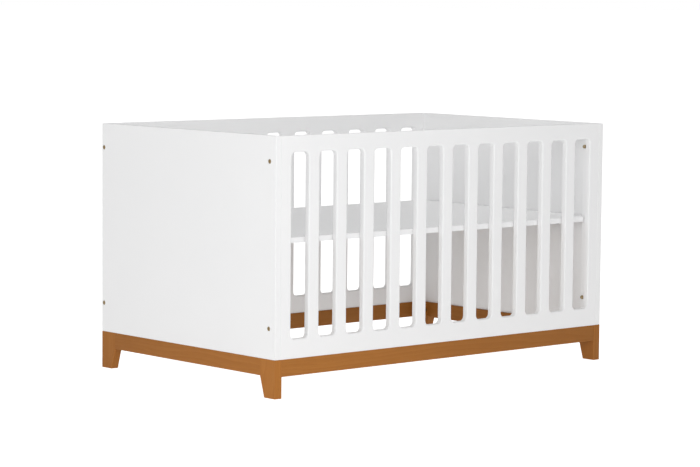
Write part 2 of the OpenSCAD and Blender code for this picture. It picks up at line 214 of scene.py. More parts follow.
class Shell:
    """A closed surface put together from grids of points. Each point comes
    with its outward direction, which turns its faces outwards and shades
    them, and with how exposed it is to rubbing, from 0 to 1."""

    def __init__(self, order):
        self.order = order
        self.points, self.normals, self.rub = [], [], []
        self.quads, self.caps, self.count = [], [], 0

    def loose(self, points, normals, rub, quads=None, cap=None):
        """Adds a list of points with the quads or the one cap they carry."""
        points = np.asarray(points, float).reshape(-1, 3)
        self.points.append(points)
        self.normals.append(np.broadcast_to(normals, points.shape))
        self.rub.append(np.broadcast_to(rub, len(points)))
        if quads is not None:
            self.quads.append(quads + self.count)
        if cap is not None:
            self.caps.append(cap + self.count)
        self.count += len(points)

    def grid(self, points, normals, rub):
        """Adds a grid of points, rows by columns, closed into a ring."""
        rows, cols = points.shape[:2]
        normals = np.broadcast_to(normals, points.shape)
        rub = np.broadcast_to(rub, (rows, cols))
        self.loose(points, normals.reshape(-1, 3), rub.reshape(-1),
                   grid_faces(rows, cols, ring=True))

    def build(self, name):
        """The mesh object, its points merged and its faces outwards."""
        raw = np.concatenate(self.points)[:, self.order]
        raw_normals = np.concatenate(self.normals)[:, self.order]
        first, index = merge_close(raw)
        points = raw[first]
        quads = np.concatenate(self.quads)
        at = points[index[quads]]
        across = np.cross(at[:, 2] - at[:, 0], at[:, 3] - at[:, 1])
        lean = np.einsum("ij,ij->i", across, raw_normals[quads].sum(1))
        quads = np.where((lean < 0)[:, None], quads[:, ::-1], quads)
        four, three = whole_faces(quads, index)
        caps = [self._facing(c, points[index[c]], raw_normals[c[0]])
                for c in self.caps]
        corners = np.concatenate([four.reshape(-1), three.reshape(-1), *caps])
        sizes = [4] * len(four) + [3] * len(three) + [len(c) for c in caps]
        starts = np.concatenate([[0], np.cumsum(sizes)[:-1]])
        mesh = bpy.data.meshes.new(name)
        mesh.vertices.add(len(points))
        mesh.vertices.foreach_set("co", points.reshape(-1))
        mesh.loops.add(len(corners))
        mesh.loops.foreach_set("vertex_index", index[corners])
        mesh.polygons.add(len(sizes))
        mesh.polygons.foreach_set("loop_start", starts)
        mesh.update(calc_edges=True)
        mesh.validate()
        mesh.polygons.foreach_set("use_smooth", [True] * len(mesh.polygons))
        rub = mesh.attributes.new("rub", "FLOAT", "POINT")
        rub.data.foreach_set("value", np.concatenate(self.rub)[first])
        mesh.normals_split_custom_set(raw_normals[corners])
        mesh.update()
        return link_piece(name, mesh)

    @staticmethod
    def _facing(cap, at, normal):
        """The cap's corners, turned so that it faces along its normal."""
        area = np.cross(at, np.roll(at, -1, axis=0)).sum(0)
        return cap if area @ normal > 0 else cap[::-1]


def link_piece(name, mesh):
    """A new object at the origin that shows the mesh."""
    piece = bpy.data.objects.new(name, mesh)
    bpy.context.scene.collection.objects.link(piece)
    return piece


def local(world, order):
    """A world position in a shape's own axes."""
    made = np.empty(3)
    made[order] = np.array(world)
    return made


class Opening:
    """A slot or round hole in a board. It has round corners, a rounded rim
    and a block of grid cells about it. side is 0 for right through, 1 or -1
    for a blind hole in the high or low face."""

    def __init__(self, centre, half, corner, rim, margin, side=0, depth=0.0):
        self.centre = np.array(centre, float)
        self.half = np.array(half, float)
        self.corner, self.rim, self.side, self.depth = corner, rim, side, depth
        self.core = self.half - corner
        self.block = self.half + rim + margin

    def lines(self, axis):
        """Grid lines along one axis: the straight part's ends, and equal
        steps from there to the block's border."""
        run = np.linspace(self.core[axis], self.block[axis], CORNER_STEPS + 1)
        middle = self.centre[axis]
        return np.concatenate([middle - run, middle + run])

    def rim_of(self, loop):
        """Rim points for points on the block's border, with directions away
        from the opening. Beside a straight side the rim point is the foot of
        the border point. From there to the block's corner it travels an
        eighth of a turn round the rounded corner."""
        p = loop - self.centre
        past = (np.abs(p) - self.core) / (self.block - self.core)
        past = np.clip(past, 0, 1)
        turn = math.pi / 4 * (past[:, 1] - past[:, 0] + 1)
        away = np.where(p < 0, -1.0, 1.0) * np.stack(
            [np.cos(turn), np.sin(turn)], 1)
        return (self.centre + np.clip(p, -self.core, self.core)
                + self.corner * away), away


def block_loop(u, v):
    """Points once round the border of a block of grid lines."""
    sides = [
        (u[:-1], np.full(len(u) - 1, v[0])),
        (np.full(len(v) - 1, u[-1]), v[:-1]),
        (u[:0:-1], np.full(len(u) - 1, v[-1])),
        (np.full(len(v) - 1, u[0]), v[:0:-1]),
    ]
    return np.concatenate([np.stack(s, 1) for s in sides])


def lift(flat, through):
    """Points of a plane, each at its own height through the board."""
    through = np.broadcast_to(through, flat.shape[:-1])
    return np.concatenate([flat, through[..., None]], -1)


def cut_opening(shell, hole, loop, low, high):
    """The opening's wall as one ring-shaped grid: from the border of its
    block over a quarter-round rim, down the wall, and over the other rim, or
    round a small fillet to the middle of a blind hole's floor."""
    rim, away = hole.rim_of(loop)
    sin, cos = quarter(RIM_STEPS)
    face = -1.0 if hole.side < 0 else 1.0
    top = low if hole.side < 0 else high
    rows, normals = [], []

    def ring(path, through, out, up):
        rows.append(lift(path, through))
        normals.append(lift(out * away, up))

    ring(loop, top, 0, face)
    for s, c in zip(sin, cos):
        ring(rim + hole.rim * (1 - s) * away,
             top - face * hole.rim * (1 - c), -s, face * c)
    rub = [0.0] + list(2 * sin * cos)
    if hole.side == 0:
        for s, c in zip(sin[::-1], cos[::-1]):
            ring(rim + hole.rim * (1 - s) * away,
                 low + hole.rim * (1 - c), -s, -c)
        ring(loop, low, 0, -1.0)
        rub += rub[::-1]
    else:
        floor = top - face * hole.depth
        for s, c in zip(sin, cos):
            ring(rim - FLOOR_FILLET * (1 - c) * away,
                 floor + face * FLOOR_FILLET * (1 - s), -c, face * s)
        ring(0 * rim + hole.centre, floor, 0, face)
        rub += [0.0] * (len(sin) + 1)
    shell.grid(np.stack(rows), np.stack(normals), np.array(rub)[:, None])


def edge_band(shell, base, reach, facing, low, high, radius, corner_rub=0.0):
    """The rounded edge of a flat shape, as one ring-shaped grid. A quarter
    circle at each face, with the straight edge between them, is carried
    round the path. base is the path moved inwards by the radius, reach how
    far a point goes out for each unit of radius, and facing its normal."""
    sin, cos = quarter(CORNER_STEPS)
    out = np.concatenate([cos[::-1], cos])
    tilt = np.concatenate([sin[::-1], -sin])
    height = np.concatenate([
        high - radius + radius * sin[::-1], low + radius - radius * sin])
    points = lift(base + radius * out[:, None, None] * reach, height[:, None])
    normals = lift(out[:, None, None] * facing, tilt[:, None])
    rub = np.abs(2 * out * tilt)[:, None] + out[:, None] * corner_rub
    shell.grid(points, normals, np.clip(rub, 0, 1))


def board(name, node, order, radius, openings, longer=0.0):
    """A board the size of a CAD node, with rounded edges and openings. Both
    faces are one net of grid lines, left out where an opening has its block.
    It is made longer at both ends of its first axis."""
    low, high = (local(c, order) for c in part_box(node))
    low[0] -= longer
    high[0] += longer
    lines = []
    for axis in (0, 1):
        ends = [low[axis] + radius, high[axis] - radius]
        found = np.concatenate([ends] + [o.lines(axis) for o in openings])
        lines.append(np.unique(np.round(found, 8)))
    u, v = lines
    shell = Shell(order)
    middle_u, middle_v = (u[1:] + u[:-1]) / 2, (v[1:] + v[:-1]) / 2
    net = np.stack(np.meshgrid(u, v, indexing="ij"), -1)
    for side, height in ((1, high[2]), (-1, low[2])):
        solid = np.ones((len(u) - 1, len(v) - 1), bool)
        for o in openings:
            if o.side in (0, side):
                in_u = np.abs(middle_u - o.centre[0]) < o.block[0]
                in_v = np.abs(middle_v - o.centre[1]) < o.block[1]
                solid &= ~(in_u[:, None] & in_v[None, :])
        shell.loose(lift(net, height), (0.0, 0.0, side), 0.0,
                    grid_faces(len(u), len(v))[solid.reshape(-1)])
    slack = 1e-7
    for o in openings:
        near = (line[np.abs(line - c) < half + slack]
                for line, c, half in zip(lines, o.centre, o.block))
        cut_opening(shell, o, block_loop(*near), low[2], high[2])
    base, away, corner = border_path(u, v)
    edge_band(shell, base, away, away, low[2], high[2], radius, corner)
    return shell.build(name)


def border_path(u, v):
    """The border of a net of grid lines as path points and directions
    outwards. At each corner the direction turns a quarter turn."""
    runs = [
        (np.stack([u, np.full(len(u), v[0])], 1), -math.pi / 2),
        (np.stack([np.full(len(v), u[-1]), v], 1), 0.0),
        (np.stack([u[::-1], np.full(len(u), v[-1])], 1), math.pi / 2),
        (np.stack([np.full(len(v), u[0]), v[::-1]], 1), math.pi),
    ]
    base, angle = [], []
    turn = np.linspace(0, math.pi / 2, CORNER_STEPS + 1)[1:-1]
    for points, heading in runs:
        base += [points, np.repeat(points[-1:], len(turn), 0)]
        angle += [np.full(len(points), heading), heading + turn]
    base, angle = np.concatenate(base), np.concatenate(angle)
    away = np.stack([np.cos(angle), np.sin(angle)], 1)
    return base, away, np.abs(np.sin(2 * angle))


def flat_shape(name, corners, low, high, order, radius):
    """A straight-sided flat shape with rounded edges. Its outline is moved
    inwards by the radius, mitred, and swept by the rounded edge: outer
    corners turn in steps, and inner corners stay sharp."""
    corners = np.array(corners, float)
    after = np.roll(corners, -1, 0)
    if (corners[:, 0] * after[:, 1] - corners[:, 1] * after[:, 0]).sum() < 0:
        return flat_shape(name, corners[::-1], low, high, order, radius)
    along = after - corners
    out = np.stack([along[:, 1], -along[:, 0]], 1)
    out /= np.linalg.norm(out, axis=1, keepdims=True)
    before = np.roll(out, 1, 0)
    mitre = (before + out) / (1 + (before * out).sum(1, keepdims=True))
    bend = before[:, 0] * out[:, 1] - before[:, 1] * out[:, 0]
    angle = np.arctan2(bend, (before * out).sum(1))
    share = np.linspace(0, 1, CORNER_STEPS + 1)
    heading = (np.arctan2(before[:, 1], before[:, 0])[:, None]
               + angle[:, None] * share)
    turning = np.stack([np.cos(heading), np.sin(heading)], -1)
    outer = (bend > 0)[:, None, None]
    ends = np.where((share < 0.5)[None, :, None],
                    before[:, None], out[:, None])
    reach = np.where(outer, turning, mitre[:, None])
    facing = np.where(outer, turning, ends)
    base = np.repeat((corners - radius * mitre)[:, None], len(share), 1)
    soft = np.where(outer[..., 0] & (np.abs(angle) > 0.5)[:, None],
                    np.sin(math.pi * share)[None], 0.0)
    shell = Shell(order)
    edge_band(shell, base.reshape(-1, 2), reach.reshape(-1, 2),
              facing.reshape(-1, 2), low, high, radius, soft.reshape(-1))
    for side, height in ((1, high), (-1, low)):
        shell.loose(lift(base[:, 0], height), (0.0, 0.0, side), 0.0,
                    cap=np.arange(len(corners)))
    return shell.build(name)


def block_shape(name, low, high, radius):
    """A rectangular block with all its edges rounded."""
    corners = [(low[0], low[1]), (high[0], low[1]),
               (high[0], high[1]), (low[0], high[1])]
    return flat_shape(name, corners, low[2], high[2], LYING, radius)


def joined(name, pieces):
    """Several pieces as one mesh object, in the order given."""
    with bpy.context.temp_override(
            active_object=pieces[0], selected_editable_objects=pieces):
        bpy.ops.object.join()
    pieces[0].name = name
    pieces[0].data.name = name
    return pieces[0]


def turned_parts(name, profile, seats, cols=TURN_STEPS):
    """Turned parts such as bolts, alike and in one mesh. The profile's rows
    are (distance along the axis, radius, squareness of the hexagon). A ring's
    radius is constant, or that of a hexagon's side: the half width across
    flats over the cosine of the angle from the nearest flat's middle. Each
    seat is (position, direction of the axis)."""
    rows = np.array(profile, float)
    turn = 2 * math.pi * np.arange(cols) / cols
    third = math.pi / 3
    hexagon = 1 / np.cos((turn + third / 2) % third - third / 2)
    radius = rows[:, 1, None] * (1 + rows[:, 2, None] * (hexagon - 1))
    points = []
    for place, axis in seats:
        axis = Vector(axis).normalized()
        side = axis.orthogonal().normalized()
        other = axis.cross(side)
        ring = (np.cos(turn)[:, None] * np.array(side)
                + np.sin(turn)[:, None] * np.array(other))
        points.append(np.array(place) + rows[:, 0, None, None] * np.array(axis)
                      + radius[..., None] * ring)
    points = np.stack(points)
    count = len(rows) * cols
    quads = np.concatenate([
        grid_faces(len(rows), cols, ring=True) + k * count
        for k in range(len(seats))])
    flat = points.reshape(-1, 3)
    first, index = merge_close(flat)
    flat = flat[first]
    at = flat[index[quads]]
    volume = sum(
        np.einsum("ij,ij->", at[:, 0], np.cross(at[:, k], at[:, k + 1]))
        for k in (1, 2))
    if volume < 0:
        quads = quads[:, ::-1]
    faces = [index[f].tolist() for f in whole_faces(quads, index)]
    mesh = bpy.data.meshes.new(name)
    mesh.from_pydata(flat, [], faces[0] + faces[1])
    mesh.polygons.foreach_set("use_smooth", [True] * len(mesh.polygons))
    mesh.set_sharp_from_angle(angle=math.radians(SHARP_ANGLE))
    mesh.update()
    return link_piece(name, mesh)


# ---------------------------------------------------------------- finishes

MIX_INPUTS = (0, 6, 7)      # a mix node's factor and its two colours
NOISE_RANGE = (0.3, 0.7)    # where most of a noise's values lie
SKIN_RELIEF = 0.00003       # metres, as the next two
GRAIN_RELIEF = 0.00006
DRAWN_RELIEF = 0.00001
WOOD_ROUGHNESS = (0.50, 0.62)   # of the light and of the dark grain
WOOD_SPECULAR = 0.28
PORE_AND_PAINTED_SHADE = 0.62           # pores, and the painted shade at the far end, against the dark grain
LEG_GAIN = 1.09             # upright timber against the rails
PAINTED_FAR_SHADE = 0.48            # share of painted shade at the far end
PAINTED_SHADE_RANGE = (0.30, 1.35)   # metres from the near corner over which the painted shade grows
DEPTH_WEIGHT = 1.4          # how much more depth counts than length in the painted shade
STAIN_SHADE = 0.72          # stains on plated steel
FLOOR_SHADE = 0.9


def put(tree, target, value):
    """Links an output to an input, or sets the input to a plain value."""
    if isinstance(value, bpy.types.NodeSocket):
        tree.links.new(value, target)
    else:
        target.default_value = value


def wire(tree, node, **values):
    """Sets a node's inputs by name, with _ for a space."""
    for label, value in values.items():
        put(tree, node.inputs[label.replace("_", " ")], value)
    return node


def add(tree, kind, *values, settings=None, **named):
    """A node with its settings. The values go to its first inputs, in order,
    and the named ones to inputs by name."""
    made = tree.nodes.new(kind)
    for key, value in (settings or {}).items():
        setattr(made, key, value)
    for target, value in zip(made.inputs, values):
        put(tree, target, value)
    return wire(tree, made, **named)


def maths(tree, operation, *values, clamp=False):
    """A maths node's result."""
    return add(tree, "ShaderNodeMath", *values, settings={
        "operation": operation, "use_clamp": clamp}).outputs[0]


def vector_maths(tree, operation, *values):
    """A vector maths node's outputs: a vector and a value."""
    return add(tree, "ShaderNodeVectorMath", *values,
               settings={"operation": operation}).outputs


def blend_colour(tree, factor, first, second):
    """Two colours mixed by a factor."""
    made = tree.nodes.new("ShaderNodeMix")
    made.data_type = "RGBA"
    for place, value in zip(MIX_INPUTS, (factor, first, second)):
        put(tree, made.inputs[place], value)
    return made.outputs[2]


def spread(tree, value, low, high, to_low, to_high):
    """A value moved from one range to another, and kept inside it."""
    return add(tree, "ShaderNodeMapRange", value, low, high, to_low, to_high,
               settings={"clamp": True}).outputs[0]


def stretched(tree, vector, scale):
    """Coordinates multiplied by a scale for each axis."""
    return vector_maths(tree, "MULTIPLY", vector, scale)[0]


def noise(tree, vector, scale, detail, roughness):
    """A noise texture's outputs: a value and a colour."""
    return add(tree, "ShaderNodeTexNoise", Vector=vector, Scale=scale,
               Detail=detail, Roughness=roughness).outputs


def shade(colour, gain):
    """A colour made darker or lighter, and opaque."""
    return tuple(gain * c for c in colour[:3]) + (1.0,)


def new_group(name, inputs, outputs):
    """An empty node group with its sockets, and its two end nodes. An input
    is given as its kind, or as a number that is its default."""
    tree = bpy.data.node_groups.new(name, "ShaderNodeTree")
    for label, value in inputs.items():
        plain = isinstance(value, float)
        made = tree.interface.new_socket(
            label, in_out="INPUT",
            socket_type="NodeSocket" + ("Float" if plain else value))
        if plain:
            made.default_value = value
    for label, kind in outputs.items():
        tree.interface.new_socket(
            label, in_out="OUTPUT", socket_type="NodeSocket" + kind)
    return (tree, tree.nodes.new("NodeGroupInput").outputs,
            tree.nodes.new("NodeGroupOutput").inputs)


def make_soft_mottle(name):
    """Soft patches: cloudy noise, moved to the range Low to High."""
    tree, ins, outs = new_group(
        name, {"Vector": "Vector", "Patches per metre": 8.0, "Low": 0.0,
               "High": 1.0}, {"Value": "Float"})
    cloud = noise(tree, ins["Vector"], ins["Patches per metre"], 3.0, 0.5)
    put(tree, outs["Value"],
        spread(tree, cloud[0], *NOISE_RANGE, ins["Low"], ins["High"]))
    return tree


def make_edge_rub(name):
    """Edges that show handling: the worn colour comes in where the edge is
    exposed and a fine noise lets it."""
    tree, ins, outs = new_group(
        name, {"Vector": "Vector", "Colour": "Color", "Worn colour": "Color",
               "Exposed": 0.0, "Amount": 0.5},
        {"Colour": "Color", "Mask": "Float"})
    fine = noise(tree, ins["Vector"], 55.0, 4.0, 0.6)
    broken = maths(tree, "MULTIPLY", ins["Exposed"],
                   spread(tree, fine[0], 0.35, 0.65, 0.35, 1.0))
    mask = maths(tree, "MULTIPLY", broken, ins["Amount"], clamp=True)
    put(tree, outs["Colour"],
        blend_colour(tree, mask, ins["Colour"], ins["Worn colour"]))
    put(tree, outs["Mask"], mask)
    return tree


def make_wood_figure(name):
    """Wood with its grain along X. Growth rings are waves round the X axis,
    bent by a slow noise; fibres and pores are noises drawn out along X."""
    tree, ins, outs = new_group(
        name, {"Vector": "Vector", "Rings": 30.0},
        {"Figure": "Float", "Pores": "Float", "Height": "Float"})
    vector = ins["Vector"]

    def drawn_out(along, across, detail, roughness):
        scale = (along, across, across)
        return noise(tree, stretched(tree, vector, scale), 1.0, detail,
                     roughness)

    bend = stretched(tree, drawn_out(1.6, 9.0, 2.0, 0.45)[1],
                     (0.0, 0.085, 0.085))
    bent = vector_maths(tree, "ADD", vector, bend)[0]
    rings = add(tree, "ShaderNodeTexWave",
                settings={"wave_type": "RINGS", "rings_direction": "X",
                          "wave_profile": "SAW"},
                Vector=stretched(tree, bent, (0.05, 1.0, 1.0)),
                Scale=ins["Rings"], Distortion=1.2, Detail=2.0)
    fibre = drawn_out(5.0, 330.0, 4.0, 0.6)[0]
    broad = drawn_out(1.3, 42.0, 3.0, 0.55)[0]
    pores = spread(tree, drawn_out(45.0, 1500.0, 1.0, 0.5)[0],
                   0.62, 0.74, 0.0, 1.0)
    rings_and_fibre = maths(
        tree, "ADD", maths(tree, "MULTIPLY", rings.outputs[1], 0.30),
        maths(tree, "MULTIPLY", fibre, 0.45))
    total = maths(tree, "ADD", rings_and_fibre,
                  maths(tree, "MULTIPLY", broad, 0.75))
    put(tree, outs["Figure"], spread(tree, total, 0.42, 1.05, 0.0, 1.0))
    put(tree, outs["Pores"], pores)
    put(tree, outs["Height"], maths(
        tree, "SUBTRACT", maths(tree, "MULTIPLY", fibre, 0.5), pores))
    return tree


def make_drawn_lines(name):
    """Fine lines of drawn or turned metal, with faint stains between."""
    tree, ins, outs = new_group(
        name, {"Vector": "Vector"}, {"Lines": "Float", "Stain": "Float"})
    long = stretched(tree, ins["Vector"], (500.0, 2600.0, 2600.0))
    put(tree, outs["Lines"], noise(tree, long, 1.0, 2.0, 0.5)[0])
    stain = noise(tree, ins["Vector"], 320.0, 3.0, 0.6)
    put(tree, outs["Stain"], spread(tree, stain[0], *NOISE_RANGE, 0.0, 1.0))
    return tree


def use_group(tree, make, **values):
    """A node that shows a group, with its values. The group is named after
    the function that makes it, and made the first time it is asked for."""
    name = make.__name__.removeprefix("make_")
    group = bpy.data.node_groups.get(name) or make(name)
    return add(tree, "ShaderNodeGroup", settings={"node_tree": group},
               **values).outputs


def once(name, make, *values):
    """The material of that name, made the first time it is asked for."""
    return bpy.data.materials.get(name) or make(name, *values)


def start_finish(name):
    """A material with an empty tree: its Principled shader and the object's
    own coordinates."""
    material = bpy.data.materials.new(name)
    material.use_nodes = True
    tree = material.node_tree
    tree.nodes.clear()
    shader = tree.nodes.new("ShaderNodeBsdfPrincipled")
    add(tree, "ShaderNodeOutputMaterial", Surface=shader.outputs[0])
    where = tree.nodes.new("ShaderNodeTexCoord").outputs["Object"]
    return material, tree, shader, where


def rubbed_edge(tree, where, colour, worn, amount):
    """The edge rub group on the piece's own measure of how exposed an edge
    is."""
    exposed = add(tree, "ShaderNodeAttribute",
                  settings={"attribute_name": "rub"}).outputs["Fac"]
    return use_group(tree, make_edge_rub, Vector=where, Colour=colour,
                     Worn_colour=worn, Exposed=exposed, Amount=amount)


def relief(tree, height, depth):
    """A normal with relief, its depth in metres."""
    return add(tree, "ShaderNodeBump", Strength=1.0, Distance=depth,
               Height=height).outputs[0]


def make_lacquer(name):
    """Satin lacquer on smooth board: faint cloudiness, a fine sprayed skin
    and thinner, duller edges."""
    colours = bpy.context.scene.crib_colours
    thin = tuple(colours.lacquer_thin)
    material, tree, shader, where = start_finish(name)
    cloud = use_group(tree, make_soft_mottle, Vector=where,
                      Patches_per_metre=5.0, Low=0.0, High=0.22)
    base = blend_colour(tree, cloud[0], tuple(colours.lacquer), thin)
    edge = rubbed_edge(tree, where, base, thin, 0.55)
    sheen = use_group(tree, make_soft_mottle, Vector=where,
                      Patches_per_metre=38.0, Low=0.40, High=0.50)
    dull = maths(tree, "MULTIPLY", edge["Mask"], 0.12)
    skin = noise(tree, where, 520.0, 2.0, 0.45)
    wire(tree, shader, Base_Color=edge["Colour"],
         Roughness=maths(tree, "ADD", sheen[0], dull),
         Normal=relief(tree, skin[0], SKIN_RELIEF))
    return material


TURN_TO_GRAIN = {
    "x": (0.0, 0.0, 0.0),
    "y": (0.0, 0.0, math.pi / 2),
    "z": (0.0, math.pi / 2, 0.0),
}


def make_wood(name, grain, light, dark, worn, shift, amount, far_shade):
    """Stained and sealed wood with its grain along one axis. shift moves the piece out of
    the middle of the growth rings. The last argument is painted shade: the wood darkens
    with distance from the front left corner of the floor, as the light falls off."""
    material, tree, shader, where = start_finish(name)
    turned = add(tree, "ShaderNodeMapping", settings={"vector_type": "POINT"},
                 Vector=where, Location=shift, Rotation=TURN_TO_GRAIN[grain])
    wood = use_group(tree, make_wood_figure, Vector=turned.outputs[0])
    # colour of the pores and of the painted shade at the far end
    pore_and_painted_shade = shade(dark, PORE_AND_PAINTED_SHADE)
    base = blend_colour(tree, wood["Figure"], light, dark)
    base = blend_colour(
        tree, maths(tree, "MULTIPLY", wood["Pores"], 0.5), base, pore_and_painted_shade)
    stain = use_group(tree, make_soft_mottle, Vector=where,
                      Patches_per_metre=9.0, Low=0.0, High=0.35)
    base = blend_colour(tree, stain[0], base, dark)
    # painted shade: the wood darkens with distance from the front left corner of the floor
    if far_shade:
        away = vector_maths(
            tree, "DISTANCE", stretched(tree, where, (1.0, DEPTH_WEIGHT, 1.0)),
            (CAD_LOW.x, DEPTH_WEIGHT * CAD_LOW.y, 0.0))
        base = blend_colour(
            tree, spread(tree, away["Value"], *PAINTED_SHADE_RANGE, 0.0, far_shade),
            base, pore_and_painted_shade)
    edge = rubbed_edge(tree, where, base, worn, amount)
    sheen = spread(tree, wood["Figure"], 0.0, 1.0, *WOOD_ROUGHNESS)
    dull = maths(tree, "MULTIPLY", wood["Pores"], 0.15)
    wire(tree, shader, Base_Color=edge["Colour"],
         Roughness=maths(tree, "ADD", sheen, dull),
         Specular_IOR_Level=WOOD_SPECULAR,
         Normal=relief(tree, wood["Height"], GRAIN_RELIEF))
    return material


def make_plated(name, colour):
    """Plated steel: drawn lines in gloss and relief, stains in colour."""
    material, tree, shader, where = start_finish(name)
    drawn = use_group(tree, make_drawn_lines, Vector=where)
    wire(tree, shader, Metallic=1.0,
         Base_Color=blend_colour(tree, drawn["Stain"], tuple(colour),
                                 shade(colour, STAIN_SHADE)),
         Roughness=spread(tree, drawn["Lines"], *NOISE_RANGE, 0.26, 0.42),
         Normal=relief(tree, drawn["Lines"], DRAWN_RELIEF))
    return material


def white_lacquer():
    """The white of the box and the platform."""
    return once("satin_white", make_lacquer)


def honey_timber(grain):
    """Honey-stained timber under a satin seal. The legs, with their grain
    upright, are a little lighter than the rails."""
    c = bpy.context.scene.crib_colours
    gain = LEG_GAIN if grain == "z" else 1.0
    # the last value is the share of painted shade at the far end of the base
    return once("honey_timber_" + grain, make_wood, grain,
                shade(c.honey, gain), shade(c.honey_dark, gain),
                tuple(c.honey_rubbed), (0.0, 0.31, 0.23), 0.4, PAINTED_FAR_SHADE)


def birch(grain):
    """Unstained birch with a thin seal."""
    c = bpy.context.scene.crib_colours
    return once("birch_" + grain, make_wood, grain, tuple(c.birch),
                tuple(c.birch_dark), tuple(c.birch), (0.0, 0.27, 0.12), 0.3,
                0.0)


def yellow_zinc():
    """Yellow-passivated zinc."""
    return once("plated_yellow", make_plated,
                bpy.context.scene.crib_colours.yellow_zinc)


def zinc_steel():
    """Bright zinc."""
    return once("plated_bright", make_plated,
                bpy.context.scene.crib_colours.zinc)


def finish_piece(piece, material, node, body=FRAME_BODY):
    """Gives a new piece its finish and body, and hides the CAD node it stands for."""
    piece.data.materials.clear()
    piece.data.materials.append(material)
    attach(piece, body)
    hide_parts(node)


# ---------------------------------------------------------------- the pieces

SIDES = (("left", -1.0), ("right", 1.0))
DEPTHS = (("front", -1.0), ("back", 1.0))
# Places and lengths in metres.
BOLT_ROWS = (0.200, 0.677)
FRONT_BOLT = 0.029          # behind the front face
BACK_BOLT = 0.010           # in front of the back face
BARREL_NUT = 0.038          # from the end's outer face
INSERT_ROW = 0.4297
INSERT_PLACES = (-0.230, -0.194, 0.194, 0.230)
BRACKET_PLACES = (-0.212, 0.212)
HALF_BRACKET = 0.035
BRACKET_STEEL = 0.003
BRACKET_BEND = 0.0045       # outer radius
STIFFENERS = (-0.195, 0.195)
HALF_STIFFENER = 0.022
NOTCH_X, NOTCH_Y = 0.6095, -0.3755
BATTEN_SCREWS = (0.150, 0.300, 0.480, 0.640)
LEG_TOP = 0.067
LEG_FOOT = 0.048
RAIL_BOTTOM = 0.062
END_RAIL_SCREWS = (-0.220, 0.0, 0.220)
END_SCREW_LINE = 0.660
LONG_RAIL_SCREWS = (-0.52, -0.26, 0.0, 0.26, 0.52)
LONG_SCREW_LINE = 0.405
BLOCK = 0.040
# Holes: radius and depth.
BOLT_RECESS = (0.0067, 0.0032)
INSERT_HOLE = (0.005, 0.014)
NUT_HOLE = (0.005, 0.0155)
BATTEN_HOLE = (0.004, 0.0027)
RAIL_HOLE = (0.00475, 0.0252)
HOLE_RIM = 0.0003
HOLE_MARGIN = 0.0011
SLOT_MARGIN = 0.003
# Rounded edges of the hidden pieces.
BATTEN_EDGE = 0.0012
BLOCK_EDGE = 0.0012
STIFFENER_EDGE = 0.0015
BRACKET_EDGE = 0.0004

# Turned parts, as turned_parts takes them.
BOLT_HEAD = [
    (0.003, 0.003, 0), (0.003, 0.0065, 0), (0.0011, 0.0065, 0),
    (0.00065, 0.00632, 0), (0.00030, 0.0059, 0), (0.00020, 0.0054, 0),
    (0.00020, 0.0031, 0), (0.00045, 0.0027, 1), (0.0021, 0.0027, 1),
    (0.0026, 0.0, 1),
]
BRACKET_BOLT = [
    (0.011, 0.0, 0), (0.011, 0.003, 0), (-0.0003, 0.003, 0),
    (-0.0003, 0.005, 0), (-0.0008, 0.00525, 0), (-0.0014, 0.0050, 0),
    (-0.0022, 0.0043, 0), (-0.0027, 0.0033, 0), (-0.0029, 0.0026, 0),
    (-0.0027, 0.0023, 1), (-0.0014, 0.0023, 1), (-0.0012, 0.0, 1),
]
INSERT = [
    (0.0128, 0.0, 0), (0.0128, 0.00485, 0), (0.0005, 0.00495, 0),
    (0.0001, 0.0047, 0), (0.0001, 0.0034, 0), (0.0004, 0.00305, 0),
    (0.0110, 0.00305, 0), (0.0110, 0.0, 0),
]
CAP_NUT = [
    (0.0, 0.0, 0), (0.0, 0.0058, 0), (0.0003, 0.006, 0),
    (0.0011, 0.006, 0), (0.0014, 0.0056, 0), (0.0014, 0.0050, 1),
    (0.0049, 0.0050, 1), (0.0055, 0.0049, 0),
] + [
    (0.0058 + 0.0022 * s, 0.0046 * c, 0) for s, c in zip(*quarter(BEND_STEPS))
]


def round_hole(centre, side, size):
    """A blind round hole of a radius and depth."""
    radius, depth = size
    return Opening(centre, (radius, radius), radius, HOLE_RIM, HOLE_MARGIN,
                   side, depth)


def end_face(node, s):
    """Where a node's outer face is along X, and the middle of its depth."""
    low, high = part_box(node)
    return (high.x if s > 0 else low.x), (low.y + high.y) / 2


def white_board(name, node, order, edge, openings):
    """A lacquered board that stands for a CAD node."""
    piece = board(name, node, order, edge, openings)
    finish_piece(piece, white_lacquer(), node)


def rail(name, node, grain, order, edge, screws, line, longer=0.0):
    """A rail of the base, with screw holes along a line of its underside."""
    holes = [round_hole((place, line), -1, RAIL_HOLE) for place in screws]
    piece = board(name, node, order, edge, holes, longer)
    finish_piece(piece, honey_timber(grain), node)


def turned_row(name, node, profile, x, places, way, steps=TURN_STEPS):
    """Turned parts in one end of the crib that stand for a CAD node. Their
    places are (y, z), and way is the direction of their axes along X."""
    seats = [((x, y, z), (way, 0, 0)) for y, z in places]
    piece = turned_parts(name, profile, seats, steps)
    finish_piece(piece, yellow_zinc(), node)


class CRIB_OT_end_panels(bpy.types.Operator):
    """Plain end panels with bolt recesses outside and insert holes inside"""
    bl_idname = "crib.end_panels"
    bl_label = "End panels"

    def execute(self, context):
        edge = context.scene.crib_sizes.panel_edge
        for name, s in SIDES:
            node = name + "_end_panel"
            low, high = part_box(node)
            outer = int(s)
            holes = [
                round_hole((y, z), outer, BOLT_RECESS)
                for y in (low.y + FRONT_BOLT, high.y - BACK_BOLT)
                for z in BOLT_ROWS
            ] + [
                round_hole((y, INSERT_ROW), -outer, INSERT_HOLE)
                for y in INSERT_PLACES
            ]
            white_board(name + "_panel", node, UPRIGHT_END, edge, holes)
        return {"FINISHED"}


